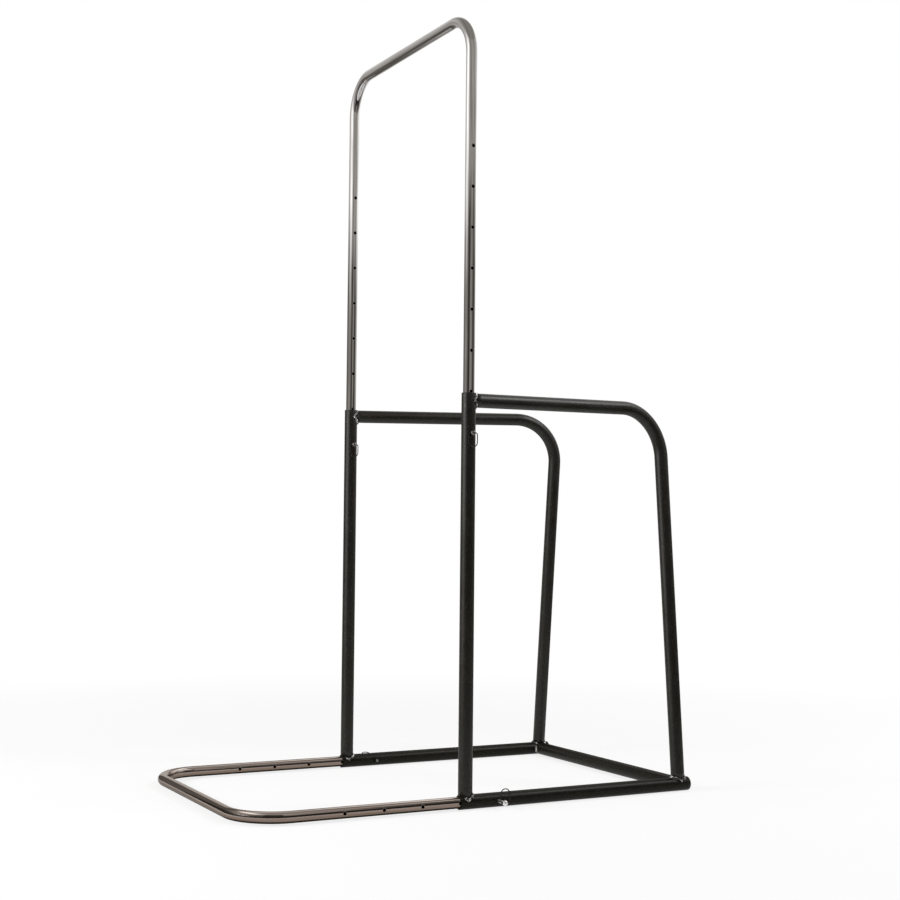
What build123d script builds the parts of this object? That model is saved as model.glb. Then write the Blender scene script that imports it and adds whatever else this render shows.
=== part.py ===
from build123d import *
import os
from math import cos, radians, sin

# A free-standing tube stand with two telescoping hoops, in millimetres.
# +X is to the right, +Y to the rear and +Z up. The origin is on the floor, midway between the uprights.

# Welded frame
frame_tube = 35.0          # outside diameter
frame_wall = 3.0
upright_spacing = 700.0    # between the upright axes
upright_top = 1000.0       # height of the open mouths
arm_drop = 0.5             # from a mouth down to the top of the arm
arm_rise = 9.0             # the arms climb this much to the rear
frame_depth = 624.0        # from the upright axes to the leg feet
rear_spacing = 516.0       # between the rear corners of the two arms
arm_bend = 125.0           # centre-line radius
rail_tail = 26.0           # rail behind the leg axis
mouth_round = 0.6          # rounded rim of each open mouth

# Weld beads
weld_gap = 0.3             # between a coped end and the tube it meets
weld_leg = 4.0             # bead on the coped tube
weld_throat = 3.0          # bead on the tube it meets
weld_stop = 3.0            # the upright's bead stops this far behind the rail's mouth

# Plugs in the rear ends of the rails
plug_flange = 3.0
plug_depth = 15.0
plug_clearance = 0.1
plug_round = 1.5

# Telescoping hoops
slide_clearance = 0.5      # between a hoop leg and the tube it slides in
hoop_wall = 1.5
upper_hoop_top = 1933.0    # height of the crossbar's axis
upper_hoop_bend = 100.0
upper_leg_tail = 250.0     # leg below the pin
floor_hoop_reach = 558.0   # from the upright axes to the front bar's axis
floor_hoop_bend = 115.0
floor_leg_tail = 142.5     # leg behind the pin

# Index holes and pins
hole_pitch = 100.0
pin_inset = 98.0           # from a tube's mouth to its pin
upper_holes_above = 7      # index holes above the pin
floor_holes_ahead = 4      # index holes ahead of the pin
floor_holes_behind = 1
pin_diameter = 8.0
pin_clearance = 0.3
pin_length = 55.0          # from the head's centre to the tip
pin_chamfer = 1.2
head_ball = 13.0
home_draw = 0.3            # how far a head stands off its tube when its pin is pushed home
right_floor_pin_draw = 28.7

# Wire pull loops
loop_wire = 2.5
loop_clearance = 0.25
loop_width = 26.0
loop_reach = 35.0          # from the hinge axis to the far end
loop_corner = 5.0
loop_end_corner = 11.0
hanging = 180.0            # loop angles, from straight up towards the outside
standing = 0.0
lying = 70.0

# Worked out from the sizes above
frame_radius = frame_tube / 2
hoop_tube = frame_tube - 2 * frame_wall - 2 * slide_clearance
side_x = upright_spacing / 2
rail_height = frame_radius
rail_front = -frame_radius
rail_rear = frame_depth + rail_tail
arm_height = upright_top - arm_drop - frame_radius
upper_pin_height = upright_top - pin_inset
floor_pin_y = rail_front + pin_inset
hole_radius = pin_diameter / 2 + pin_clearance
reach_past = 2 * frame_tube    # how far a cutting rod runs past what it cuts


def rod(start, end, radius):
    """A solid round bar from start to end."""
    run = Vector(*end) - Vector(*start)
    bar = Cylinder(radius, run.length, align=(Align.CENTER, Align.CENTER, Align.MIN))
    return Plane(origin=start, z_dir=run) * bar


def tube_along(path, outside, wall):
    """A hollow tube whose axis is the path."""
    ring = Circle(outside / 2) - Circle(outside / 2 - wall)
    return sweep(Plane(origin=path @ 0, z_dir=path % 0) * ring, path=path)


def round_rim(tube, axis, end):
    """Round both edges of the open mouth at one end of a straight tube."""
    rims = tube.edges().filter_by(GeomType.CIRCLE).group_by(axis)[end]
    return fillet(rims, mouth_round)


def past(start, end):
    """The same axis, run on beyond both of its ends."""
    step = (Vector(*end) - Vector(*start)).normalized() * reach_past
    return Vector(*start) - step, Vector(*end) + step


def weld_bead(branch, main):
    """The bead in the corner where a coped branch tube meets a main tube."""
    foot, tip = (Vector(*point) for point in branch)
    out = (tip - foot).normalized()
    near_joint = (foot - out * weld_leg, foot + out * reach_past)
    bead = rod(*near_joint, frame_radius + weld_leg) & rod(*past(*main), frame_radius + weld_throat)
    return bead - rod(*past(*branch), frame_radius) - rod(*past(*main), frame_radius + weld_gap)


def above(height):
    """A block that holds everything above a height."""
    size = 4 * upright_top
    return Pos(0, 0, height) * Box(size, size, size, align=(Align.CENTER, Align.CENTER, Align.MIN))


def behind(y):
    """A block that holds everything behind a place along Y."""
    size = 4 * upright_top
    return Pos(0, y, 0) * Box(size, size, size, align=(Align.CENTER, Align.MIN, Align.CENTER))


def cross_holes(places):
    """Drills along X, through both sides of the stand, at each (y, z) place."""
    far = side_x + reach_past
    return [rod((-far, y, z), (far, y, z), hole_radius) for y, z in places]


def upright_axis(x):
    return (x, 0, rail_height), (x, 0, upright_top)


def rail_axis(x):
    return (x, rail_front, rail_height), (x, rail_rear, rail_height)


def arm_corner(side):
    return side * rear_spacing / 2, frame_depth, arm_height + arm_rise


def arm_axis(side):
    return (side * side_x, 0, arm_height), arm_corner(side)


def leg_axis(side):
    return (side * side_x, frame_depth, rail_height), arm_corner(side)


def cross_axis():
    return (-side_x, frame_depth, rail_height), (side_x, frame_depth, rail_height)


def make_upright(x):
    tube = round_rim(tube_along(Line(*upright_axis(x)), frame_tube, frame_wall), Axis.Z, -1)
    tube -= rod(*past(*rail_axis(x)), frame_radius + weld_gap)
    return tube - cross_holes([(0, upper_pin_height)])


def make_rail(x):
    tube = round_rim(tube_along(Line(*rail_axis(x)), frame_tube, frame_wall), Axis.Y, 0)
    return tube - cross_holes([(floor_pin_y, rail_height)])


def make_arm_and_leg(side):
    upright_end, corner = arm_axis(side)
    foot = leg_axis(side)[0]
    tube = tube_along(FilletPolyline(upright_end, corner, foot, radius=arm_bend), frame_tube, frame_wall)
    tube -= rod(*past(*upright_axis(side * side_x)), frame_radius + weld_gap)
    return tube - rod(*past(*rail_axis(side * side_x)), frame_radius + weld_gap)


def make_cross_tube():
    tube = tube_along(Line(*cross_axis()), frame_tube, frame_wall)
    for side in (1, -1):
        tube -= rod(*past(*rail_axis(side * side_x)), frame_radius + weld_gap)
        tube -= rod(*past(*leg_axis(side)), frame_radius + weld_gap)
    return tube


def make_rail_plug(x):
    flange = rod((x, rail_rear, rail_height), (x, rail_rear + plug_flange, rail_height), frame_radius)
    flange = fillet(flange.edges().filter_by(GeomType.CIRCLE).group_by(Axis.Y)[-1], plug_round)
    spigot_radius = frame_radius - frame_wall - plug_clearance
    return flange + rod((x, rail_rear - plug_depth, rail_height), (x, rail_rear, rail_height), spigot_radius)


def make_upper_hoop():
    leg_end = upper_pin_height - upper_leg_tail
    corners = [
        (-side_x, 0, leg_end),
        (-side_x, 0, upper_hoop_top),
        (side_x, 0, upper_hoop_top),
        (side_x, 0, leg_end),
    ]
    hoop = tube_along(FilletPolyline(*corners, radius=upper_hoop_bend), hoop_tube, hoop_wall)
    steps = range(upper_holes_above + 1)
    return hoop - cross_holes([(0, upper_pin_height + hole_pitch * step) for step in steps])


def make_floor_hoop():
    leg_end = floor_pin_y + floor_leg_tail
    corners = [
        (-side_x, leg_end, rail_height),
        (-side_x, -floor_hoop_reach, rail_height),
        (side_x, -floor_hoop_reach, rail_height),
        (side_x, leg_end, rail_height),
    ]
    hoop = tube_along(FilletPolyline(*corners, radius=floor_hoop_bend), hoop_tube, hoop_wall)
    steps = range(-floor_holes_behind, floor_holes_ahead + 1)
    return hoop - cross_holes([(floor_pin_y - hole_pitch * step, rail_height) for step in steps])


def head_centre(tube_point, outward, draw):
    """Where a pin's head sits when it is drawn this far off the tube; outward is +1 or -1 along X."""
    stand_off = frame_radius + head_ball / 2 + draw
    return Vector(*tube_point) + Vector(outward * stand_off, 0, 0)


def make_pin(head, outward):
    tip = head - Vector(outward * pin_length, 0, 0)
    shaft = rod(head, tip, pin_diameter / 2)
    ends = shaft.edges().filter_by(GeomType.CIRCLE).sort_by_distance(tip)
    pin = chamfer(ends[0], pin_chamfer) + Pos(*head) * Sphere(head_ball / 2)
    half = Vector(0, head_ball, 0)
    return pin - rod(head - half, head + half, loop_wire / 2 + loop_clearance)


def make_pull_loop(head, outward, angle):
    """A closed wire loop: one straight side lies in the head's cross hole, along Y."""
    reach = Vector(outward * sin(radians(angle)), 0, cos(radians(angle)))
    hinge = Vector(0, 1, 0)
    half = (loop_width - loop_wire) / 2
    end = loop_reach - loop_wire / 2
    corners = [(-half, 0), (half, 0), (half, end), (-half, end)]
    radii = [loop_corner, loop_corner, loop_end_corner, loop_end_corner]
    outline = FilletPolyline(*corners, radius=radii, close=True)
    path = Plane(origin=head, x_dir=hinge, z_dir=hinge.cross(reach)) * outline
    return sweep(Plane(origin=path @ 0, z_dir=path % 0) * Circle(loop_wire / 2), path=path)


nodes = {
    "rear_cross_tube": make_cross_tube(),
    "upper_hoop": make_upper_hoop(),
    "floor_hoop": make_floor_hoop(),
}
for name, side in (("right", 1), ("left", -1)):
    x = side * side_x
    cross_here = (x, frame_depth, rail_height), (0, frame_depth, rail_height)
    nodes[f"{name}_upright"] = make_upright(x)
    nodes[f"{name}_base_rail"] = make_rail(x)
    nodes[f"{name}_arm_and_leg"] = make_arm_and_leg(side)
    nodes[f"{name}_rail_plug"] = make_rail_plug(x)
    nodes[f"{name}_arm_weld"] = weld_bead(arm_axis(side), upright_axis(x)) - above(upright_top)
    foot_weld = weld_bead(upright_axis(x), rail_axis(x)) & behind(rail_front + weld_stop)
    nodes[f"{name}_upright_foot_weld"] = foot_weld
    leg_weld = weld_bead(leg_axis(side), rail_axis(x)) - rod(*cross_here, frame_radius + weld_gap)
    nodes[f"{name}_leg_foot_weld"] = leg_weld
    cross_weld = weld_bead(cross_here, rail_axis(x)) & above(weld_gap)
    leg_room = rod(*past(*leg_axis(side)), frame_radius + weld_leg + weld_gap)
    nodes[f"{name}_cross_tube_weld"] = cross_weld - leg_room

# Each pin: the tube point it passes through, the way its head faces, its draw and its loop's angle
pins = {
    "right_upper": ((side_x, 0, upper_pin_height), 1, home_draw, hanging),
    "left_upper": ((-side_x, 0, upper_pin_height), 1, home_draw, hanging),
    "right_floor": ((side_x, floor_pin_y, rail_height), 1, right_floor_pin_draw, standing),
    "left_floor": ((-side_x, floor_pin_y, rail_height), -1, home_draw, lying),
}
for name, (tube_point, outward, draw, angle) in pins.items():
    head = head_centre(tube_point, outward, draw)
    nodes[f"{name}_pin"] = make_pin(head, outward)
    nodes[f"{name}_pull_loop"] = make_pull_loop(head, outward, angle)

os.makedirs("parts", exist_ok=True)
for name, solid in nodes.items():
    export_step(solid, f"parts/{name}.step")
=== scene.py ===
import math
import random

import bmesh
import bpy
import numpy as np
from mathutils import Matrix, Vector


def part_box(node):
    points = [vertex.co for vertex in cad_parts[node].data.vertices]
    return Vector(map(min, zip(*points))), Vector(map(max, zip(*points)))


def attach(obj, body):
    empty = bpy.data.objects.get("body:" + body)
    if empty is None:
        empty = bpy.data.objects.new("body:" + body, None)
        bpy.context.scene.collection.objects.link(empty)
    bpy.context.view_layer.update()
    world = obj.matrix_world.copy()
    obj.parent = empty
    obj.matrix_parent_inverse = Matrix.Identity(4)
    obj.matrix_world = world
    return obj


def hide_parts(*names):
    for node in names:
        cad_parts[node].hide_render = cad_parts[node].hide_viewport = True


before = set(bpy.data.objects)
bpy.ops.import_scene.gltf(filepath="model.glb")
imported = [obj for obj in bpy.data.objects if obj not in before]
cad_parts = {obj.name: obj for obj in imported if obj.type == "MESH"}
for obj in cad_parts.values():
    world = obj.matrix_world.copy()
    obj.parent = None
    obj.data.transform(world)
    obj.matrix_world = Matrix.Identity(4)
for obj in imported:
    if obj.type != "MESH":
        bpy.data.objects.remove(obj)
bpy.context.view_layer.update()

# A welded tube stand with two telescoping chromed hoops, in metres, in the frame of the solids.
# +X is to the right, +Y to the rear and +Z up. The origin is on the floor, midway between the uprights.
both_sides = (("right", 1), ("left", -1))

# Sizes read from the solids
upright_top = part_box("right_upright")[1].z
rail_low, rail_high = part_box("right_base_rail")
upper_low, upper_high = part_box("upper_hoop")
floor_low, floor_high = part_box("floor_hoop")
pin_z = sum(corner.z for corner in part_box("right_upper_pin")) / 2
pin_y = sum(corner.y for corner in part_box("right_floor_pin")) / 2
cross_y = sum(corner.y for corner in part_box("rear_cross_tube")) / 2
frame_radius = (rail_high.x - rail_low.x) / 2
hoop_radius = (upper_high.y - upper_low.y) / 2
side_x = (rail_high.x + rail_low.x) / 2
rail_z = (rail_high.z + rail_low.z) / 2

# Sizes that the solids were drawn with
frame_wall = 0.003
hoop_wall = 0.0015
cope_gap = 0.0003              # between a coped end and the tube it meets
arm_height = 0.982             # arm's axis at the upright
arm_corner_height = 0.991
arm_corner_x = 0.258
arm_bend = 0.125
upper_bend = 0.100
floor_bend = 0.115
hole_radius = 0.0043
hole_pitch = 0.100
upper_holes = range(0, 8)      # hole numbers, counted up from the pin
floor_holes = range(-1, 5)     # counted forward from the pin

# Rounded edges
rim_round = 0.0006
hole_round = 0.0004

# Weld beads
weld_depth = 0.002             # how deep a bead's root lies in the tubes' walls
weld_fill = 0.0055             # how far a bead runs up the coped tube where the tubes lie flush
leg_weld_fill = 0.0095
weld_stop = 0.003              # the upright's bead stops this far behind the rail's mouth
bead_floor = 0.0055            # the cross tube's beads stop at this height
mouth_room = 0.0001            # the arm's bead stays this far below the upright's mouth
leg_weld_overlap = 0.001       # how far the leg's bead runs into the cross tube
bead_radius = 0.0034
bead_swell = 0.12              # share that the radius gains where the tubes meet squarely
bead_lift = 0.0005             # how far a bead's middle stands out there
bead_sink = 0.0019             # how much deeper it lies where the tubes lie flush
bead_lumps = ((0.15, 470, 0.0), (0.09, 1130, 1.3))     # shares of the radius, radians per metre and phases
bead_taper = 0.004             # length over which an end grows to the full radius
bead_tip = 0.4                 # steps of that growth which the very end already has
ripple_pitch = 0.0028
ripple_bow = 0.0012            # how far a ripple bows along the bead
ripple_skew = 0.6              # makes one side of a ripple steeper
ripple_low = 0.90              # share of the radius between two ripples
ripple_rise = 0.17             # share that a crest adds
crest_wear = 1.1               # how bare a crest wears
flush_wear = 0.25              # how much less where the tubes lie flush

# Spatter beside the welds
spot_distances = (0.005, 0.016)        # from the seam
spot_radii = (0.0004, 0.0010)
spot_room = 0.003              # kept clear at both ends of the rails
spot_tilts = (0, 35, 65)       # degrees up a spot's side at which its rings lie
spot_sides = 8
spot_wear = 0.8                # how bare a spot wears
seed_step = 11                 # between the random draws of two seams

# Mesh fineness
tube_sides = 72
tube_angles = [2 * math.pi * side / tube_sides for side in range(tube_sides)]
patch_columns = 6              # half the width of the patch of faces round a hole
patch_span = range(-patch_columns, patch_columns)
patch_room = 1.2               # other rings keep this many half widths off a hole
outer_shares = (0.4, 0.75, 1.0)        # how round the loops of a patch are, inwards from its square
inner_shares = (1.0, 0.6)              # and on the inner wall, outwards from the hole
rim_turns = (30, 60, 90)       # degrees round a rim at which its loops lie
cope_room = 1.6 * frame_radius         # length at a coped end without rings
run_step = 0.040               # longest face along a straight run
bend_step = math.radians(3.5)
closest_rings = 1e-6
seam_parts = 4000              # points worked out round a seam
bead_step = 0.00036            # along a weld bead
bead_sides = 14
bead_window = 3                # steps to either side that give a bead's direction

# Scuff marks and painted shade low on the floor hoop, and painted shade darkest underneath: heights on its
# section, in radii, between which each sets in
scuff_and_shade_from, scuff_and_shade_to = 0.35, -0.10
underside_shade_from, underside_shade_to = -0.45, -0.68

# Colours. Where there are two, they are those of a finish's darker and lighter places
paint_colours = (0.0045, 0.0040, 0.0018), (0.0090, 0.0082, 0.0045)
rubbed_paint = (0.030, 0.029, 0.025)
dust = (0.054, 0.050, 0.041)
bead_colours = (0.004, 0.004, 0.0035), (0.016, 0.0155, 0.014)
bare_metal = (0.84, 0.83, 0.80)
upper_chrome = (0.56, 0.555, 0.55), (0.62, 0.615, 0.61)
# The floor hoop has the same plating as the upper hoop; its warmer colours are a painted reflection
floor_chrome_painted_tint = (0.54, 0.475, 0.44), (0.60, 0.53, 0.49)
floor_chrome_edge = (0.58, 0.565, 0.545)       # seen at a grazing angle
chrome_pits = (0.20, 0.18, 0.16)
rubbed_chrome = (0.24, 0.23, 0.22)
# Scuff marks and painted shade on the floor hoop's lower half
scuffed_and_shaded_chrome = (0.175, 0.125, 0.096)
# Painted shade along the floor hoop's underside
underside_painted_shade = (0.010, 0.008, 0.007)
bright_zinc_colours = (0.66, 0.66, 0.65), (0.82, 0.82, 0.80)
# A darker copy of the same zinc, as painted shade on the pins other than the bright one
painted_shade_zinc_colours = (0.10, 0.10, 0.095), (0.20, 0.195, 0.185)
wire_colours = (0.016, 0.015, 0.014), (0.042, 0.040, 0.038)
plug_colours = (0.014, 0.014, 0.014), (0.026, 0.026, 0.025)
white = (1, 1, 1, 1)

# Shine and roughness
paint_shine, worn_paint_shine = 0.31, 0.10
scuff_roughness, underside_roughness = 0.22, 0.55

# Camera, at the photograph's viewpoint
image_size = 900.0
camera_place = Vector((3.6248, -1.7641, 0.6850))
camera_yaw, camera_pitch, camera_roll = (math.radians(angle) for angle in (62.328, 2.514, 0.549))
focal_pixels = 1539.8
optical_centre = (451.06, 455.22)      # in pixels
sensor_width = 36.0                    # in millimetres
view_depth = 100.0

# Stage: a pale floor that runs out to white, a white surround and lamps
floor_size = 60.0
floor_drop = 0.0005
floor_colour = (0.86, 0.86, 0.855)
floor_roughness, floor_shine = 0.9, 0.1
floor_white = 0.78                     # share of white in the floor as it is seen beside the object
fade_from, fade_to = 1.2, 3.0          # distances between which that share grows to all
surround_light = 0.35
# Each lamp: its place, what it faces, its width, its height and its power in watts
lamps = {
    "front_window": ((-0.1, -3.5, 1.55), (0, 0, 0.9), 1.8, 0.8, 130),
    "overhead": ((1.9, 2.7, 3.5), (0.2, 0.3, 0.5), 0.9, 0.9, 88),
    "rear_rim": ((1.0, 3.4, 1.6), (0, 0.2, 0.7), 0.8, 1.6, 25),
}

# Glowing grey cards round the object, no lamps: a painted reflection of the room that the chrome mirrors
card_distance = 1.6
card_top = 3.2
card_step = 4                          # degrees along a wall
light_tint = (1.0, 0.99, 0.98)
shade_tint = (1.0, 0.90, 0.81)
ceiling_front, ceiling_rear = -2.4, 3.2
ceiling_stops = [(-1.8, 0.9), (-0.4, 0.34), (4.0, 0.32)]       # x and brightness
# Each wall: its azimuths in degrees, and its (height, brightness) stops
walls = {
    "window_left": (-141, -118, [(0.0, 0.03), (0.5, 0.06), (1.0, 0.2), (1.7, 0.3), (1.9, 1.1),
                                 (card_top, 0.6)]),
    "window": (-118, -72, [(0.0, 0.03), (0.5, 0.06), (1.0, 0.35), (1.5, 0.42), (1.75, 1.1), (1.95, 1.8),
                           (2.6, 1.8), (card_top, 0.6)]),
    "window_right": (-72, -62, [(0.0, 0.03), (0.5, 0.06), (1.0, 0.3), (1.65, 0.35), (1.95, 1.1),
                                (card_top, 0.6)]),
    "camera_left": (-62, -50, [(0.0, 0.03), (0.5, 0.06), (1.0, 0.2), (1.65, 0.25), (2.0, 0.65),
                               (card_top, 0.5)]),
    "camera_left_dark": (-50, -15, [(0.0, 0.02), (1.05, 0.05), (1.7, 0.08), (1.85, 0.42),
                                    (card_top, 0.42)]),
    "camera": (-15, 18, [(0.0, 0.02), (0.6, 0.03), (0.9, 0.12), (1.1, 0.36), (1.7, 0.33), (1.85, 0.5),
                         (card_top, 0.42)]),
    "right_dim": (18, 36, [(0.0, 0.02), (0.6, 0.03), (1.0, 0.12), (1.7, 0.15), (1.9, 0.4),
                           (card_top, 0.42)]),
    "right_dark": (36, 60, [(0.0, 0.02), (1.0, 0.06), (1.55, 0.08), (1.9, 0.45), (2.2, 0.65),
                            (card_top, 0.45)]),
    "right": (60, 76, [(0.0, 0.03), (0.6, 0.06), (1.0, 0.2), (1.55, 0.22), (1.7, 0.55), (2.1, 0.9),
                       (card_top, 0.5)]),
    "right_rear": (76, 92, [(0.0, 0.05), (0.6, 0.15), (1.0, 0.45), (1.55, 0.5), (1.9, 1.3),
                            (card_top, 0.6)]),
    "rear_edge": (92, 118, [(0.0, 0.1), (0.6, 0.3), (1.0, 0.6), (1.5, 0.8), (1.9, 1.6), (card_top, 0.8)]),
    "left_rear": (118, 152, [(0.0, 0.1), (0.35, 0.2), (0.7, 0.6), (1.0, 0.9), (1.6, 1.0), (1.9, 1.4),
                             (card_top, 0.9)]),
    "left": (152, 160, [(0.0, 0.1), (0.7, 0.25), (1.05, 0.33), (1.5, 0.5), (1.9, 0.95), (card_top, 0.9)]),
    "left_front": (160, 197, [(0.0, 0.9), (0.4, 0.9), (0.7, 0.75), (1.05, 0.15), (1.5, 0.16), (1.9, 0.6),
                              (card_top, 0.9)]),
    "left_edge": (197, 219, [(0.0, 0.18), (0.7, 0.16), (1.1, 0.13), (1.5, 0.16), (1.75, 0.5),
                             (card_top, 0.8)]),
}


class Route:
    """A tube's axis: straight runs joined by arcs, all in one plane."""

    def __init__(self, corners, bend=0.0, across=None):
        corners = [Vector(corner) for corner in corners]
        runs = [after - before for before, after in zip(corners, corners[1:])]
        self.across = (Vector(across) if across else runs[0].cross(runs[1])).normalized()
        self.pieces = []
        self.length = 0.0
        place = corners[0]
        for number, run in enumerate(runs):
            way = run.normalized()
            last = number == len(runs) - 1
            turn = 0.0 if last else way.angle(runs[number + 1])
            corner_room = bend * math.tan(turn / 2)
            end = corners[number + 1] - way * corner_room
            self._add("run", place, way, (end - place).length)
            if not last:
                self._add("bend", end, way, bend * turn, bend)
                place = corners[number + 1] + runs[number + 1].normalized() * corner_room

    def _add(self, kind, place, way, length, bend=0.0):
        self.pieces.append((kind, self.length, place, way, length, bend))
        self.length += length

    def at(self, run):
        """Centre, direction and outward normal at a distance along the axis."""
        for kind, start, place, way, length, bend in self.pieces:
            if run <= start + length or (kind, start) == self.pieces[-1][:2]:
                break
        if kind == "run":
            return place + way * (run - start), way, way.cross(self.across)
        turned = Matrix.Rotation((run - start) / bend, 3, self.across)
        centre = place - way.cross(self.across) * bend
        way = turned @ way
        outward = way.cross(self.across)
        return centre + outward * bend, way, outward

    def stations(self, first, last, holes, half):
        """Distances at which rings of faces stand: close together in bends and round holes."""
        found = []
        for kind, start, _, _, length, bend in self.pieces:
            step = bend * bend_step if kind == "bend" else run_step
            count = max(1, math.ceil(length / step))
            found += [start + length * part / count for part in range(count + 1)]
        room = half * patch_room
        clear = [run for run in found if first < run < last
                 and all(abs(run - hole) > room for hole in holes)]
        rows = range(-patch_columns, patch_columns + 1)
        for hole in holes:
            clear += [hole + half * row / patch_columns for row in rows]
        kept = [first]
        for run in sorted(clear) + [last]:
            if run - kept[-1] > closest_rings:
                kept.append(run)
        return kept


class Shell:
    """Points and faces of one mesh. Each point's skin is its place on the tube as if that ran straight."""

    def __init__(self):
        self.points, self.skin, self.faces = [], [], []

    def loop(self, points, skin):
        first = len(self.points)
        self.points += [tuple(point) for point in points]
        self.skin += [tuple(place) for place in skin]
        return list(range(first, len(self.points)))

    def strip(self, lower, upper, leave_out=()):
        """Faces between two closed loops of as many points, without the columns left out."""
        count = len(lower)
        for here in range(count):
            if here not in leave_out:
                after = (here + 1) % count
                self.faces.append((lower[here], lower[after], upper[after], upper[here]))

    def strips(self, loops):
        """Faces between each loop and the next."""
        for lower, upper in zip(loops, loops[1:]):
            self.strip(lower, upper)

    def caps(self, loops):
        """A face over the first loop and one over the last."""
        self.faces.append(tuple(loops[0]))
        self.faces.append(tuple(loops[-1]))

    def make(self, name):
        mesh = bpy.data.meshes.new(name)
        mesh.from_pydata(self.points, [], self.faces)
        places = mesh.attributes.new("skin", "FLOAT_VECTOR", "POINT")
        places.data.foreach_set("vector", np.array(self.skin, np.float32).ravel())
        edited = bmesh.new()
        edited.from_mesh(mesh)
        bmesh.ops.recalc_face_normals(edited, faces=edited.faces)
        edited.to_mesh(mesh)
        edited.free()
        mesh.shade_smooth()
        piece = bpy.data.objects.new(name, mesh)
        bpy.context.scene.collection.objects.link(piece)
        return piece


def ring(route, run, radius, angles=tube_angles):
    """Points round a tube at one distance along it, and their skin."""
    centre, _, outward = route.at(run)
    radials = [outward * math.cos(angle) + route.across * math.sin(angle) for angle in angles]
    points = [centre + radial * radius for radial in radials]
    skin = [(radius * math.cos(angle), radius * math.sin(angle), run) for angle in angles]
    return points, skin


def from_axis(point, axis):
    """The shortest way from an axis to a point."""
    offset = point - Vector(axis[0])
    way = Vector(axis[1]).normalized()
    return offset - way * offset.dot(way)


def onto_tube(points, way, axis_point, axis_way, radius):
    """Moves points along a line to where it leaves a round bar: the shape of a coped end."""
    axis_way = Vector(axis_way).normalized()
    flat_way = way - axis_way * way.dot(axis_way)
    moved = []
    for point in points:
        offset = point - Vector(axis_point)
        flat = offset - axis_way * offset.dot(axis_way)
        # The line leaves the bar at the larger root of a * distance ** 2 + 2 * b * distance + c
        a, b, c = flat_way.dot(flat_way), flat.dot(flat_way), flat.dot(flat) - radius * radius
        moved.append(point + way * ((math.sqrt(max(0.0, b * b - a * c)) - b) / a))
    return moved


def coped_loop(route, at_end, radius, main):
    """The end loop of a tube that is cut to sit on another tube."""
    points, skin = ring(route, route.length if at_end else 0.0, radius)
    way = route.at(route.length)[1] * -1 if at_end else route.at(0.0)[1]
    return onto_tube(points, way, *main, frame_radius + cope_gap), skin


def hole_patch(shell, route, grid, hole, angle, radii, half):
    """Faces round one round hole: from the square left in each wall to the rounded edge of the bore.
    The hole is its distance along the tube and the number of the ring there."""
    hole_run, hole_row = hole
    outer, inner = radii
    first_column = round(angle / (2 * math.pi) * tube_sides)
    edge = patch_columns
    rim = [(column, -edge) for column in patch_span] + [(edge, row) for row in patch_span]
    rim += [(-column, edge) for column in patch_span] + [(-edge, -row) for row in patch_span]
    places = [(2 * math.pi * column / tube_sides, half * row / edge) for column, row in rim]
    turns = [math.atan2(along, outer * math.sin(around)) for around, along in places]

    def square(rings):
        return [rings[hole_row + row][(first_column + column) % tube_sides] for column, row in rim]

    def loop_at(radius, spread, share):
        """A loop on the wall of this radius, part of the way from the square to a circle."""
        points, skin = [], []
        for (around, along), turn in zip(places, turns):
            round_around = math.asin(spread * math.cos(turn) / radius)
            round_along = spread * math.sin(turn)
            point_angle = angle + around + (round_around - around) * share
            run = hole_run + along + (round_along - along) * share
            one_point, one_place = ring(route, run, radius, [point_angle])
            points += one_point
            skin += one_place
        return shell.loop(points, skin)

    bevel = hole_round * (1 - math.sqrt(0.5))
    loops = [square(grid["outer"])]
    loops += [loop_at(outer, hole_radius + hole_round, share) for share in outer_shares]
    loops.append(loop_at(outer - bevel, hole_radius + bevel, 1.0))
    loops.append(loop_at(outer - hole_round, hole_radius, 1.0))
    loops.append(loop_at(inner + hole_round, hole_radius, 1.0))
    loops.append(loop_at(inner + bevel, hole_radius + bevel, 1.0))
    loops += [loop_at(inner, hole_radius + hole_round, share) for share in inner_shares]
    loops.append(square(grid["inner"]))
    shell.strips(loops)


def close_end(shell, route, grid, at_end, end, radii):
    """Faces between the two walls at an end: a rounded rim, or a cut that sits on another tube."""
    near = -1 if at_end else 0
    loops = [grid["outer"][near]]
    if end == "open":
        for radius, sign, turns in zip(radii, (-1, 1), (rim_turns, rim_turns[::-1])):
            for turn in turns:
                inset = rim_round * (1 - math.cos(math.radians(turn)))
                out = rim_round * (1 - math.sin(math.radians(turn)))
                run = route.length - out if at_end else out
                loops.append(shell.loop(*ring(route, run, radius + sign * inset)))
    else:
        loops += [shell.loop(*coped_loop(route, at_end, radius, end)) for radius in radii]
    loops.append(grid["inner"][near])
    shell.strips(loops)


def tube(name, route, outer, wall, ends, holes):
    """A hollow tube along a route. Each end is "open", or it is coped to a tube and given as the
    (point, direction) axis of that tube. Holes go through both walls, along the outward normal, at
    these distances."""
    shell = Shell()
    radii = outer, outer - wall
    half = outer * math.sin(2 * math.pi * patch_columns / tube_sides)
    first = rim_round if ends[0] == "open" else cope_room
    last = route.length - (rim_round if ends[1] == "open" else cope_room)
    stations = route.stations(first, last, holes, half)
    holed_columns = {(turn + column) % tube_sides for turn in (0, tube_sides // 2) for column in patch_span}
    left_out = {}
    middles = []
    for hole in holes:
        middle = min(range(len(stations)), key=lambda index: abs(stations[index] - hole))
        middles.append((hole, middle))
        for row in patch_span:
            left_out[middle + row] = holed_columns
    grid = {}
    for wall_name, radius in zip(("outer", "inner"), radii):
        rings = [shell.loop(*ring(route, run, radius)) for run in stations]
        for row, (before, after) in enumerate(zip(rings, rings[1:])):
            shell.strip(before, after, left_out.get(row, ()))
        grid[wall_name] = rings
    for hole in middles:
        for angle in (0.0, math.pi):
            hole_patch(shell, route, grid, hole, angle, radii, half)
    for at_end in (False, True):
        close_end(shell, route, grid, at_end, ends[at_end], radii)
    return shell.make(name)


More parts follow.
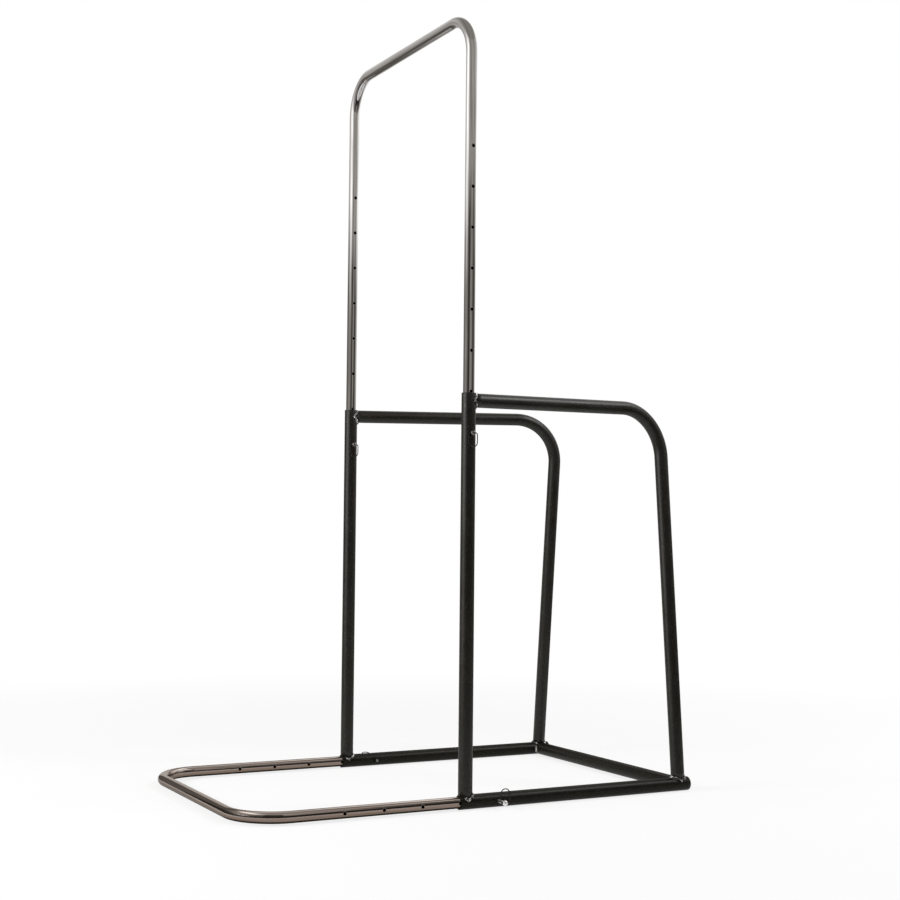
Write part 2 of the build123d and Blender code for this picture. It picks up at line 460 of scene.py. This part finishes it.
def seam_point(branch, main, angle, fill):
    """A point of a weld where a coped tube meets the tube it sits on, and both tubes' normals there.
    Where the tubes lie flush, the weld fills the point of the seam and runs higher up the coped tube."""
    foot, way = Vector(branch[0]), Vector(branch[1]).normalized()
    first = way.orthogonal().normalized()
    radial = first * math.cos(angle) + way.cross(first) * math.sin(angle)
    point = onto_tube([foot + radial * frame_radius], way, *main, frame_radius)[0]
    main_normal = from_axis(point, main).normalized()
    return point + way * fill * max(0.0, radial.dot(main_normal)) ** 2, radial, main_normal


def seam_runs(branch, main, keep, fill):
    """The seam's points, evenly spaced, in unbroken runs of those that are kept."""
    angles = [2 * math.pi * part / seam_parts for part in range(seam_parts)]
    around = [seam_point(branch, main, angle, fill) for angle in angles]
    spaced = [around[0]]
    for place in around[1:]:
        if (place[0] - spaced[-1][0]).length >= bead_step:
            spaced.append(place)
    kept = [keep(place[0]) for place in spaced]
    if all(kept):
        return [(spaced, True)]
    first = next(index for index in range(len(kept)) if kept[index] and not kept[index - 1])
    runs = []
    for index in range(first, first + len(kept)):
        if kept[index % len(kept)]:
            if not kept[(index - 1) % len(kept)]:
                runs.append([])
            runs[-1].append(spaced[index % len(kept)])
    return [(run, False) for run in runs]


def bead(shell, run, closed, axes, top):
    """A lumpy, rippled weld bead along a seam, with its root in the walls of the tubes with these axes.
    Its skin starts with how bare a point may wear: most on the crests of its ripples."""
    count = len(run)
    taper = round(bead_taper / bead_step)
    rings = []
    for index, (point, branch_normal, main_normal) in enumerate(run):
        earlier, later = index - bead_window, index + bead_window
        before = run[earlier if closed else max(earlier, 0)][0]
        after = run[later % count if closed else min(later, count - 1)][0]
        along = (after - before).normalized()
        out = branch_normal + main_normal
        out = (out - along * out.dot(along)).normalized()
        across = along.cross(out)
        flatness = branch_normal.dot(main_normal)
        sunk = bead_sink * flatness - bead_lift
        travelled = index * bead_step
        lump = sum(share * math.sin(travelled * waves + phase) for share, waves, phase in bead_lumps)
        end_share = 1.0 if closed else min(1.0, (min(index, count - 1 - index) + bead_tip) / taper)
        radius = bead_radius * (1 + bead_swell * (1 - flatness) + lump) * math.sqrt(end_share)
        points, skin = [], []
        for side in range(bead_sides):
            turn = 2 * math.pi * side / bead_sides
            phase = 2 * math.pi * (travelled + ripple_bow * math.cos(turn)) / ripple_pitch
            crest = 0.5 + 0.5 * math.sin(phase + ripple_skew * math.sin(phase))
            reach = radius * (ripple_low + ripple_rise * crest)
            place = point - out * sunk + (out * math.cos(turn) + across * math.sin(turn)) * reach
            for axis in axes:
                radial = from_axis(place, axis)
                place += radial.normalized() * max(0.0, frame_radius - weld_depth - radial.length)
            place.z = min(place.z, top)
            points.append(place)
            skin.append((crest * (crest_wear - flush_wear * flatness), 0.0, travelled))
        rings.append(shell.loop(points, skin))
    shell.strips(rings)
    if closed:
        shell.strip(rings[-1], rings[0])
    else:
        shell.caps(rings)


def spatter(shell, run, branch, main, amount, top, seed):
    """Small beads of metal thrown onto both tubes beside a seam."""
    chance = random.Random(seed)
    branch_way, main_way = Vector(branch[1]).normalized(), Vector(main[1]).normalized()
    turns = [2 * math.pi * side / spot_sides for side in range(spot_sides)]
    for _ in range(amount):
        point, branch_normal, main_normal = chance.choice(run)
        on_branch = chance.random() < 0.5
        normal = branch_normal if on_branch else main_normal
        distance = chance.uniform(*spot_distances)
        sign = 1 if on_branch else chance.choice((1, -1))
        centre = point + (branch_way if on_branch else main_way) * distance * sign
        if not rail_low.y + spot_room < centre.y < rail_high.y - spot_room:
            continue
        radius = chance.uniform(*spot_radii)
        first = normal.orthogonal().normalized()
        second = normal.cross(first)
        radials = [first * math.cos(turn) + second * math.sin(turn) for turn in turns]
        rings = []
        for tilt in spot_tilts:
            flat = radius * math.cos(math.radians(tilt))
            rise = radius * math.sin(math.radians(tilt))
            places = [centre + normal * rise + radial * flat for radial in radials]
            for place in places:
                place.z = min(place.z, top)
            rings.append(shell.loop(places, [(spot_wear, 0, 0)] * spot_sides))
        shell.strips(rings)
        shell.caps(rings)


def weld_piece(name, branch, main, keep, fill, spots, seed, top):
    """The beads and the spatter of one seam, nowhere higher than the top."""
    shell = Shell()
    runs = seam_runs(branch, main, keep, fill)
    for run, closed in runs:
        bead(shell, run, closed, (branch, main), top)
    spatter(shell, [place for run, _ in runs for place in run], branch, main, spots, top, seed)
    return shell.make(name)


# Routes of the tubes
def upright_route(side):
    x = side * side_x
    return Route([(x, 0, rail_z), (x, 0, upright_top)], across=(0, -1, 0))


def rail_route(side):
    x = side * side_x
    return Route([(x, rail_low.y, rail_z), (x, rail_high.y, rail_z)], across=(0, 0, 1))


def arm_corners(side):
    """The arm's start at the upright, the corner above the leg and the leg's foot on the rail."""
    start = Vector((side * side_x, 0, arm_height))
    corner = Vector((side * arm_corner_x, cross_y, arm_corner_height))
    foot = Vector((side * side_x, cross_y, rail_z))
    return start, corner, foot


def arm_route(side):
    return Route(arm_corners(side), arm_bend)


def cross_route():
    return Route([(-side_x, cross_y, rail_z), (side_x, cross_y, rail_z)], across=(0, 1, 0))


def upper_route():
    top = upper_high.z - hoop_radius
    corners = [(-side_x, upper_low.z), (-side_x, top), (side_x, top), (side_x, upper_low.z)]
    return Route([(x, 0, z) for x, z in corners], upper_bend)


def floor_route():
    front = floor_low.y + hoop_radius
    corners = [(-side_x, floor_high.y), (-side_x, front), (side_x, front), (side_x, floor_high.y)]
    return Route([(x, y, rail_z) for x, y in corners], floor_bend)


# Axes of the tubes that meet at the welds, each a point and a direction
def upright_axis(side):
    return (side * side_x, 0, 0), (0, 0, 1)


def rail_axis(side):
    return (side * side_x, 0, rail_z), (0, 1, 0)


def cross_axis(side):
    return (side * side_x, cross_y, rail_z), (-side, 0, 0)


def arm_axis(side):
    start, corner, _ = arm_corners(side)
    return start, corner - start


def leg_axis(side):
    _, corner, foot = arm_corners(side)
    return foot, corner - foot


# Pieces
def dress(piece, node, body, material):
    """A piece stands for a solid, moves with its body and takes a finish."""
    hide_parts(node)
    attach(piece, body)
    piece.data.materials.append(material)


def frame_tube(name, node, route, ends, holes, material):
    """A painted tube of the welded frame."""
    piece = tube(name, route, frame_radius, frame_wall, ends, holes)
    dress(piece, node, "frame", material)


def hoop(node, route, leg_runs, material):
    """A chromed hoop with index holes at these distances from the end of each leg."""
    holes = leg_runs + [route.length - run for run in leg_runs]
    piece = tube(f"{node}_tube", route, hoop_radius, hoop_wall, ("open", "open"), holes)
    dress(piece, node, node, material)
    return piece


def make_welds(word, side, material):
    """The welds of one side of the frame."""
    leg_room = frame_radius + bead_radius

    def everywhere(point):
        return True

    def behind_mouth(point):
        return point.y > rail_low.y + weld_stop + bead_radius

    def off_cross_tube(point):
        clear = from_axis(point, cross_axis(side)).length >= frame_radius - leg_weld_overlap
        return clear or point.x * side > side_x

    def off_leg_and_floor(point):
        return point.z > bead_floor and from_axis(point, leg_axis(side)).length >= leg_room

    # Each seam: the coped tube, the tube it sits on, where it is welded, the fill and the spots of spatter
    seams = {
        "arm_weld": (arm_axis(side), upright_axis(side), everywhere, weld_fill, 12),
        "upright_foot_weld": (upright_axis(side), rail_axis(side), behind_mouth, weld_fill, 10),
        "leg_foot_weld": (leg_axis(side), rail_axis(side), off_cross_tube, leg_weld_fill, 10),
        "cross_tube_weld": (cross_axis(side), rail_axis(side), off_leg_and_floor, weld_fill, 6),
    }
    for number, (node, seam) in enumerate(seams.items()):
        top = upright_top - mouth_room if node == "arm_weld" else math.inf
        piece = weld_piece(f"{word}_{node}_bead", *seam, seed_step * number + side, top)
        dress(piece, f"{word}_{node}", "frame", material)


# Node helpers for the materials
def new_material(name):
    material = bpy.data.materials.new(name)
    material.use_nodes = True
    nodes = material.node_tree.nodes
    return material, nodes, material.node_tree.links, nodes["Principled BSDF"]


def add_node(nodes, kind, **values):
    node = nodes.new(kind)
    for key, value in values.items():
        setattr(node, key, value)
    return node


def noise_on(nodes, links, place, stretch, scale, detail, roughness=0.55):
    """A noise over a coordinate that is first stretched along its axes."""
    mapping = add_node(nodes, "ShaderNodeMapping")
    mapping.inputs["Scale"].default_value = stretch
    links.new(place, mapping.inputs["Vector"])
    noise = add_node(nodes, "ShaderNodeTexNoise")
    noise.inputs["Scale"].default_value = scale
    noise.inputs["Detail"].default_value = detail
    noise.inputs["Roughness"].default_value = roughness
    links.new(mapping.outputs["Vector"], noise.inputs["Vector"])
    return noise.outputs["Fac"]


def ramp_on(nodes, links, value, stops):
    """A colour ramp with these (position, colour) stops; a number stands for a grey."""
    ramp = add_node(nodes, "ShaderNodeValToRGB")
    elements = ramp.color_ramp.elements
    while len(elements) < len(stops):
        elements.new(0.5)
    for element, (position, colour) in zip(elements, stops):
        element.position = position
        grey = not isinstance(colour, tuple)
        element.color = (colour, colour, colour, 1) if grey else (*colour, 1)
    links.new(value, ramp.inputs["Fac"])
    return ramp.outputs["Color"]


def mix_colours(nodes, links, share, first, second):
    """A varying colour that gives way to a plain one by a varying share."""
    mix = add_node(nodes, "ShaderNodeMix", data_type="RGBA")
    share_socket, first_socket, second_socket = mix.inputs[0], mix.inputs[6], mix.inputs[7]
    links.new(share, share_socket)
    links.new(first, first_socket)
    second_socket.default_value = (*second, 1)
    return mix.outputs[2]


def multiply(nodes, links, first, second):
    product = add_node(nodes, "ShaderNodeMath", operation="MULTIPLY")
    links.new(first, product.inputs[0])
    links.new(second, product.inputs[1])
    return product.outputs[0]


def bump_on(nodes, links, shader, height, distance, strength):
    bump = add_node(nodes, "ShaderNodeBump")
    bump.inputs["Distance"].default_value = distance
    bump.inputs["Strength"].default_value = strength
    links.new(height, bump.inputs["Height"])
    links.new(bump.outputs["Normal"], shader.inputs["Normal"])


def skin_place(nodes):
    return add_node(nodes, "ShaderNodeAttribute", attribute_name="skin").outputs["Vector"]


def object_place(nodes):
    return add_node(nodes, "ShaderNodeTexCoord").outputs["Object"]


def share_below(nodes, links, height, begin, end):
    """0 above one height on the hoop's section and 1 below another, both in radii."""
    share = add_node(nodes, "ShaderNodeMapRange")
    share.inputs["From Min"].default_value = hoop_radius * begin
    share.inputs["From Max"].default_value = hoop_radius * end
    links.new(height, share.inputs["Value"])
    return share.outputs["Result"]


# Materials
def black_paint(name, shine):
    """Satin black paint: slight orange peel, dull patches, fine rubbed streaks and specks of dust."""
    material, nodes, links, shader = new_material(name)
    skin = skin_place(nodes)
    dark, light = paint_colours
    patches = noise_on(nodes, links, skin, (1, 1, 0.35), scale=24, detail=6, roughness=0.72)
    streaks = noise_on(nodes, links, skin, (1, 1, 0.02), scale=420, detail=3)
    peel = noise_on(nodes, links, skin, (1, 1, 0.7), scale=900, detail=2)
    specks = noise_on(nodes, links, skin, (1, 1, 0.6), scale=300, detail=4, roughness=0.7)
    colour = ramp_on(nodes, links, patches, [(0.3, dark), (0.7, light)])
    rubbed = ramp_on(nodes, links, streaks, [(0.62, 0.0), (0.85, 0.30)])
    colour = mix_colours(nodes, links, rubbed, colour, rubbed_paint)
    dusty = ramp_on(nodes, links, specks, [(0.56, 0.0), (0.72, 0.7)])
    links.new(mix_colours(nodes, links, dusty, colour, dust), shader.inputs["Base Color"])
    links.new(ramp_on(nodes, links, patches, [(0.3, 0.33), (0.7, 0.48)]), shader.inputs["Roughness"])
    shader.inputs["Specular IOR Level"].default_value = shine
    bump_on(nodes, links, shader, peel, distance=0.00012, strength=0.12)
    return material


def weld_paint():
    """Black paint over a weld bead, worn off the tops of its ripples, where bare metal glints."""
    material, nodes, links, shader = new_material("weld_paint")
    place = object_place(nodes)
    dark, light = bead_colours
    grain = noise_on(nodes, links, place, (1, 1, 1), scale=900, detail=4)
    chips = noise_on(nodes, links, place, (1, 1, 1), scale=170, detail=3)
    wear = noise_on(nodes, links, place, (1, 1, 1), scale=75, detail=2)
    crest = add_node(nodes, "ShaderNodeSeparateXYZ")
    links.new(skin_place(nodes), crest.inputs[0])
    chipped = multiply(nodes, links, crest.outputs["X"], chips)
    chipped = ramp_on(nodes, links, chipped, [(0.22, 0.0), (0.33, 1.0)])
    bare = multiply(nodes, links, chipped, ramp_on(nodes, links, wear, [(0.46, 0.0), (0.53, 1.0)]))
    colour = ramp_on(nodes, links, grain, [(0.3, dark), (0.75, light)])
    links.new(mix_colours(nodes, links, bare, colour, bare_metal), shader.inputs["Base Color"])
    links.new(bare, shader.inputs["Metallic"])
    links.new(ramp_on(nodes, links, grain, [(0.3, 0.28), (0.7, 0.48)]), shader.inputs["Roughness"])
    bump_on(nodes, links, shader, grain, distance=0.0003, strength=0.6)
    return material


def chrome(name, colours, on_floor=False):
    """Bright plating with fine polishing lines along the tube, faint haze, pin-prick pits and rubs.
    On the floor hoop, instead of rubs, scuff marks darken it low down, partly painted shade, and painted
    shade darkens its underside most."""
    material, nodes, links, shader = new_material(name)
    skin = skin_place(nodes)
    dull, pale = colours
    haze = noise_on(nodes, links, skin, (1, 1, 0.25), scale=30, detail=4)
    lines = noise_on(nodes, links, skin, (1, 1, 0.004), scale=700, detail=3)
    pits = noise_on(nodes, links, skin, (1, 1, 1), scale=650, detail=2)
    colour = ramp_on(nodes, links, haze, [(0.25, dull), (0.75, pale)])
    gloss = ramp_on(nodes, links, haze, [(0.3, 0.04), (0.8, 0.09)])
    pitted = ramp_on(nodes, links, pits, [(0.70, 0.0), (0.78, 0.7)])
    colour = mix_colours(nodes, links, pitted, colour, chrome_pits)
    if on_floor:
        place = add_node(nodes, "ShaderNodeSeparateXYZ")
        links.new(skin, place.inputs[0])
        height = place.outputs["Y"]
        marks = ramp_on(nodes, links, lines, [(0.30, 0.75), (0.65, 1.0)])
        # Scuff marks on the lower half of the section, which also darken it there as painted shade
        scuffs_and_shade = multiply(nodes, links, share_below(nodes, links, height, scuff_and_shade_from, scuff_and_shade_to), marks)
        colour = mix_colours(nodes, links, scuffs_and_shade, colour, scuffed_and_shaded_chrome)
        gloss = mix_colours(nodes, links, scuffs_and_shade, gloss, [scuff_roughness] * 3)
        # Painted shade: a dark, rougher band along the underside
        underside_shade = share_below(nodes, links, height, underside_shade_from, underside_shade_to)
        colour = mix_colours(nodes, links, underside_shade, colour, underside_painted_shade)
        gloss = mix_colours(nodes, links, underside_shade, gloss, [underside_roughness] * 3)
        shader.inputs["Specular Tint"].default_value = (*floor_chrome_edge, 1)
    else:
        rubs = noise_on(nodes, links, skin, (1, 1, 0.012), scale=420, detail=2, roughness=0.5)
        rubbed = ramp_on(nodes, links, rubs, [(0.52, 0.0), (0.58, 0.45)])
        colour = mix_colours(nodes, links, rubbed, colour, rubbed_chrome)
    links.new(colour, shader.inputs["Base Color"])
    shader.inputs["Metallic"].default_value = 1.0
    links.new(gloss, shader.inputs["Roughness"])
    bump_on(nodes, links, shader, lines, distance=0.00004, strength=0.25)
    return material


def zinc(name, colours):
    """Zinc plate on the pins: a little cloudy between its two colours, with turning marks."""
    material, nodes, links, shader = new_material(name)
    place = object_place(nodes)
    dull, pale = colours
    cloud = noise_on(nodes, links, place, (1, 1, 1), scale=180, detail=4)
    marks = noise_on(nodes, links, place, (1, 0.05, 0.05), scale=2600, detail=2)
    links.new(ramp_on(nodes, links, cloud, [(0.3, dull), (0.7, pale)]), shader.inputs["Base Color"])
    shader.inputs["Metallic"].default_value = 1.0
    links.new(ramp_on(nodes, links, cloud, [(0.3, 0.24), (0.7, 0.38)]), shader.inputs["Roughness"])
    bump_on(nodes, links, shader, marks, distance=0.00005, strength=0.4)
    return material


def spring_wire():
    """Drawn spring wire, dark grey and slightly dull."""
    material, nodes, links, shader = new_material("spring_wire")
    dark, light = wire_colours
    cloud = noise_on(nodes, links, object_place(nodes), (1, 1, 1), scale=260, detail=4)
    links.new(ramp_on(nodes, links, cloud, [(0.3, dark), (0.7, light)]), shader.inputs["Base Color"])
    shader.inputs["Metallic"].default_value = 1.0
    links.new(ramp_on(nodes, links, cloud, [(0.3, 0.34), (0.7, 0.48)]), shader.inputs["Roughness"])
    bump_on(nodes, links, shader, cloud, distance=0.00005, strength=0.3)
    return material


def plug_plastic():
    """Moulded black plastic with a fine grain."""
    material, nodes, links, shader = new_material("plug_plastic")
    dark, light = plug_colours
    grain = noise_on(nodes, links, object_place(nodes), (1, 1, 1), scale=1500, detail=2)
    links.new(ramp_on(nodes, links, grain, [(0.3, dark), (0.7, light)]), shader.inputs["Base Color"])
    links.new(ramp_on(nodes, links, grain, [(0.3, 0.50), (0.7, 0.65)]), shader.inputs["Roughness"])
    bump_on(nodes, links, shader, grain, distance=0.0001, strength=0.4)
    return material


# Camera and stage
def make_camera():
    yaw, pitch, roll = camera_yaw, camera_pitch, camera_roll
    level = math.cos(pitch)
    forward = Vector((-math.sin(yaw) * level, math.cos(yaw) * level, math.sin(pitch)))
    level_right = Vector((math.cos(yaw), math.sin(yaw), 0))
    level_up = level_right.cross(forward)
    right = level_right * math.cos(roll) + level_up * math.sin(roll)
    up = level_up * math.cos(roll) - level_right * math.sin(roll)
    lens = bpy.data.cameras.new("camera")
    lens.sensor_width = sensor_width
    lens.sensor_fit = "HORIZONTAL"
    lens.lens = focal_pixels / image_size * sensor_width
    lens.shift_x = (image_size / 2 - optical_centre[0]) / image_size
    lens.shift_y = (optical_centre[1] - image_size / 2) / image_size
    lens.clip_end = view_depth
    camera = bpy.data.objects.new("camera", lens)
    turned = Matrix((right, up, -forward)).transposed().to_4x4()
    camera.matrix_world = Matrix.Translation(camera_place) @ turned
    bpy.context.scene.collection.objects.link(camera)
    bpy.context.scene.camera = camera


def seen_ray(nodes, links):
    """1 for rays that look at a surface directly, in a mirror or through glass, and 0 for rays that
    carry light."""
    path = add_node(nodes, "ShaderNodeLightPath")
    value = path.outputs["Is Camera Ray"]
    for output in ("Is Glossy Ray", "Is Transmission Ray"):
        both = add_node(nodes, "ShaderNodeMath", operation="MAXIMUM")
        links.new(value, both.inputs[0])
        links.new(path.outputs[output], both.inputs[1])
        value = both.outputs[0]
    return value


def mix_shaders(nodes, links, share, first, second, output):
    mix = add_node(nodes, "ShaderNodeMixShader")
    links.new(share, mix.inputs[0])
    links.new(first.outputs[0], mix.inputs[1])
    links.new(second.outputs[0], mix.inputs[2])
    links.new(mix.outputs[0], nodes[output].inputs["Surface"])


def make_floor():
    mesh = bpy.data.meshes.new("floor")
    half = floor_size / 2
    corners = [(-half, -half), (half, -half), (half, half), (-half, half)]
    mesh.from_pydata([(x, y, -floor_drop) for x, y in corners], [], [(0, 1, 2, 3)])
    floor = bpy.data.objects.new("floor", mesh)
    bpy.context.scene.collection.objects.link(floor)
    material, nodes, links, shader = new_material("pale_floor")
    shader.inputs["Base Color"].default_value = (*floor_colour, 1)
    shader.inputs["Roughness"].default_value = floor_roughness
    shader.inputs["Specular IOR Level"].default_value = floor_shine
    glow = add_node(nodes, "ShaderNodeEmission")
    glow.inputs["Color"].default_value = white
    glow.inputs["Strength"].default_value = 1.0
    distance = add_node(nodes, "ShaderNodeVectorMath", operation="LENGTH")
    links.new(object_place(nodes), distance.inputs[0])
    fade = add_node(nodes, "ShaderNodeMapRange")
    fade.inputs["From Min"].default_value = fade_from
    fade.inputs["From Max"].default_value = fade_to
    fade.inputs["To Min"].default_value = floor_white
    links.new(distance.outputs["Value"], fade.inputs["Value"])
    share = multiply(nodes, links, fade.outputs["Result"], seen_ray(nodes, links))
    mix_shaders(nodes, links, share, shader, glow, "Material Output")
    mesh.materials.append(material)


def make_world():
    world = bpy.data.worlds.new("surround")
    bpy.context.scene.world = world
    world.use_nodes = True
    nodes, links = world.node_tree.nodes, world.node_tree.links
    light = nodes["Background"]
    light.inputs["Color"].default_value = white
    light.inputs["Strength"].default_value = surround_light
    seen = add_node(nodes, "ShaderNodeBackground")
    seen.inputs["Color"].default_value = white
    seen.inputs["Strength"].default_value = 1.0
    mix_shaders(nodes, links, seen_ray(nodes, links), light, seen, "World Output")


def leave_unlit(piece):
    """A collection that keeps the lamps off a piece, which then shows only what it mirrors."""
    unlit = bpy.data.collections.new("shown_by_cards")
    unlit.objects.link(piece)
    unlit.collection_objects[0].light_linking.link_state = "EXCLUDE"
    return unlit


def make_lamp(name, place, target, width, height, power, unlit):
    lamp = bpy.data.lights.new(name, "AREA")
    lamp.shape = "RECTANGLE"
    lamp.size, lamp.size_y = width, height
    lamp.energy = power
    item = bpy.data.objects.new(name, lamp)
    item.location = place
    item.rotation_euler = (Vector(target) - Vector(place)).to_track_quat("-Z", "Y").to_euler()
    item.light_linking.receiver_collection = unlit
    bpy.context.scene.collection.objects.link(item)


def make_card(name, points, faces, level):
    """A grey card that glows but lights nothing and stands out of sight: only what mirrors the room shows
    it, as a painted reflection.
    Level is a function that adds nodes and gives the card's brightness."""
    mesh = bpy.data.meshes.new(name)
    mesh.from_pydata(points, [], faces)
    card = bpy.data.objects.new(name, mesh)
    bpy.context.scene.collection.objects.link(card)
    card.visible_camera = False
    card.visible_diffuse = False
    card.visible_transmission = False
    card.visible_shadow = False
    material, nodes, links, _ = new_material(name)
    glow = add_node(nodes, "ShaderNodeEmission")
    links.new(level(nodes, links), glow.inputs["Color"])
    links.new(glow.outputs[0], nodes["Material Output"].inputs["Surface"])
    mesh.materials.append(material)


def graded(axis, stops):
    """Brightness that changes along an axis through these (place, brightness) stops.
    The darker it is, the warmer its colour."""
    first, last = stops[0][0], stops[-1][0]

    def colour(grey):
        share = min(1.0, grey)
        tint = [dark + (light - dark) * share for dark, light in zip(shade_tint, light_tint)]
        return tuple(grey * part for part in tint)

    def level(nodes, links):
        place = add_node(nodes, "ShaderNodeSeparateXYZ")
        links.new(object_place(nodes), place.inputs[0])
        share = add_node(nodes, "ShaderNodeMapRange")
        share.inputs["From Min"].default_value = first
        share.inputs["From Max"].default_value = last
        links.new(place.outputs[axis], share.inputs["Value"])
        tinted = [((at - first) / (last - first), colour(grey)) for at, grey in stops]
        return ramp_on(nodes, links, share.outputs["Result"], tinted)

    return level


def wall_card(name, first, last, stops):
    """An upright curved card between two azimuths, in degrees from +X towards +Y.
    Stops are (height, brightness) from its foot to its top."""
    low, high = stops[0][0], stops[-1][0]
    count = max(2, round(abs(last - first) / card_step))
    turns = [math.radians(first + (last - first) * part / count) for part in range(count + 1)]
    plan = [(card_distance * math.cos(turn), card_distance * math.sin(turn)) for turn in turns]
    points = [(x, y, z) for x, y in plan for z in (low, high)]
    faces = [(2 * part, 2 * part + 2, 2 * part + 3, 2 * part + 1) for part in range(count)]
    make_card(name, points, faces, graded("Z", stops))


def ceiling_card(name, front, rear, height, stops):
    """A level card between two depths. Stops are (x, brightness) from its left to its right."""
    left, right = stops[0][0], stops[-1][0]
    points = [(left, front, height), (right, front, height), (right, rear, height), (left, rear, height)]
    make_card(name, points, [(0, 1, 2, 3)], graded("X", stops))


# Finishes
paint = black_paint("black_paint", paint_shine)
worn_paint = black_paint("worn_paint", worn_paint_shine)
weld = weld_paint()
wire = spring_wire()
plastic = plug_plastic()
bright = chrome("chrome", upper_chrome)
# The floor hoop's finish carries painted shade low down and a painted reflection in its tint
scuffed_and_shaded = chrome("scuffed_and_shaded_chrome", floor_chrome_painted_tint, on_floor=True)
bright_zinc = zinc("bright_zinc", bright_zinc_colours)
painted_shade_zinc = zinc("painted_shade_zinc", painted_shade_zinc_colours)

# Frame tubes
for word, side in both_sides:
    frame_tube(f"{word}_upright_tube", f"{word}_upright", upright_route(side),
               (rail_axis(side), "open"), [pin_z - rail_z], paint)
    frame_tube(f"{word}_rail_tube", f"{word}_base_rail", rail_route(side),
               ("open", "open"), [pin_y - rail_low.y], worn_paint)
    frame_tube(f"{word}_arm_tube", f"{word}_arm_and_leg", arm_route(side),
               (upright_axis(side), rail_axis(side)), [], paint)
frame_tube("rear_cross_tube_skin", "rear_cross_tube", cross_route(),
           (rail_axis(-1), rail_axis(1)), [], worn_paint)

# Hoops
upper_runs = [pin_z + hole_pitch * number - upper_low.z for number in upper_holes]
floor_runs = [floor_high.y - pin_y + hole_pitch * number for number in floor_holes]
upper_hoop = hoop("upper_hoop", upper_route(), upper_runs, bright)
hoop("floor_hoop", floor_route(), floor_runs, scuffed_and_shaded)

# Weld beads
for word, side in both_sides:
    make_welds(word, side, weld)

# Solids that stay, with finer finishes. One pin has the bright zinc; the others have a darker copy of it,
# which is painted shade
for name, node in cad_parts.items():
    finish = None
    if name.endswith("_pin"):
        finish = bright_zinc if name == "right_floor_pin" else painted_shade_zinc
    elif name.endswith("_pull_loop"):
        finish = wire
    elif name.endswith("_rail_plug"):
        finish = plastic
    if finish:
        node.data.materials.clear()
        node.data.materials.append(finish)

# Camera and stage. The lamps leave out the polished hoop, where their highlights break up into specks
make_camera()
make_floor()
make_world()
unlit_hoop = leave_unlit(upper_hoop)
for name, lamp in lamps.items():
    make_lamp(name, *lamp, unlit_hoop)
for name, wall in walls.items():
    wall_card(f"{name}_wall", *wall)
ceiling_card("ceiling", ceiling_front, ceiling_rear, card_top, ceiling_stops)
bpy.context.scene.view_settings.view_transform = "Standard"
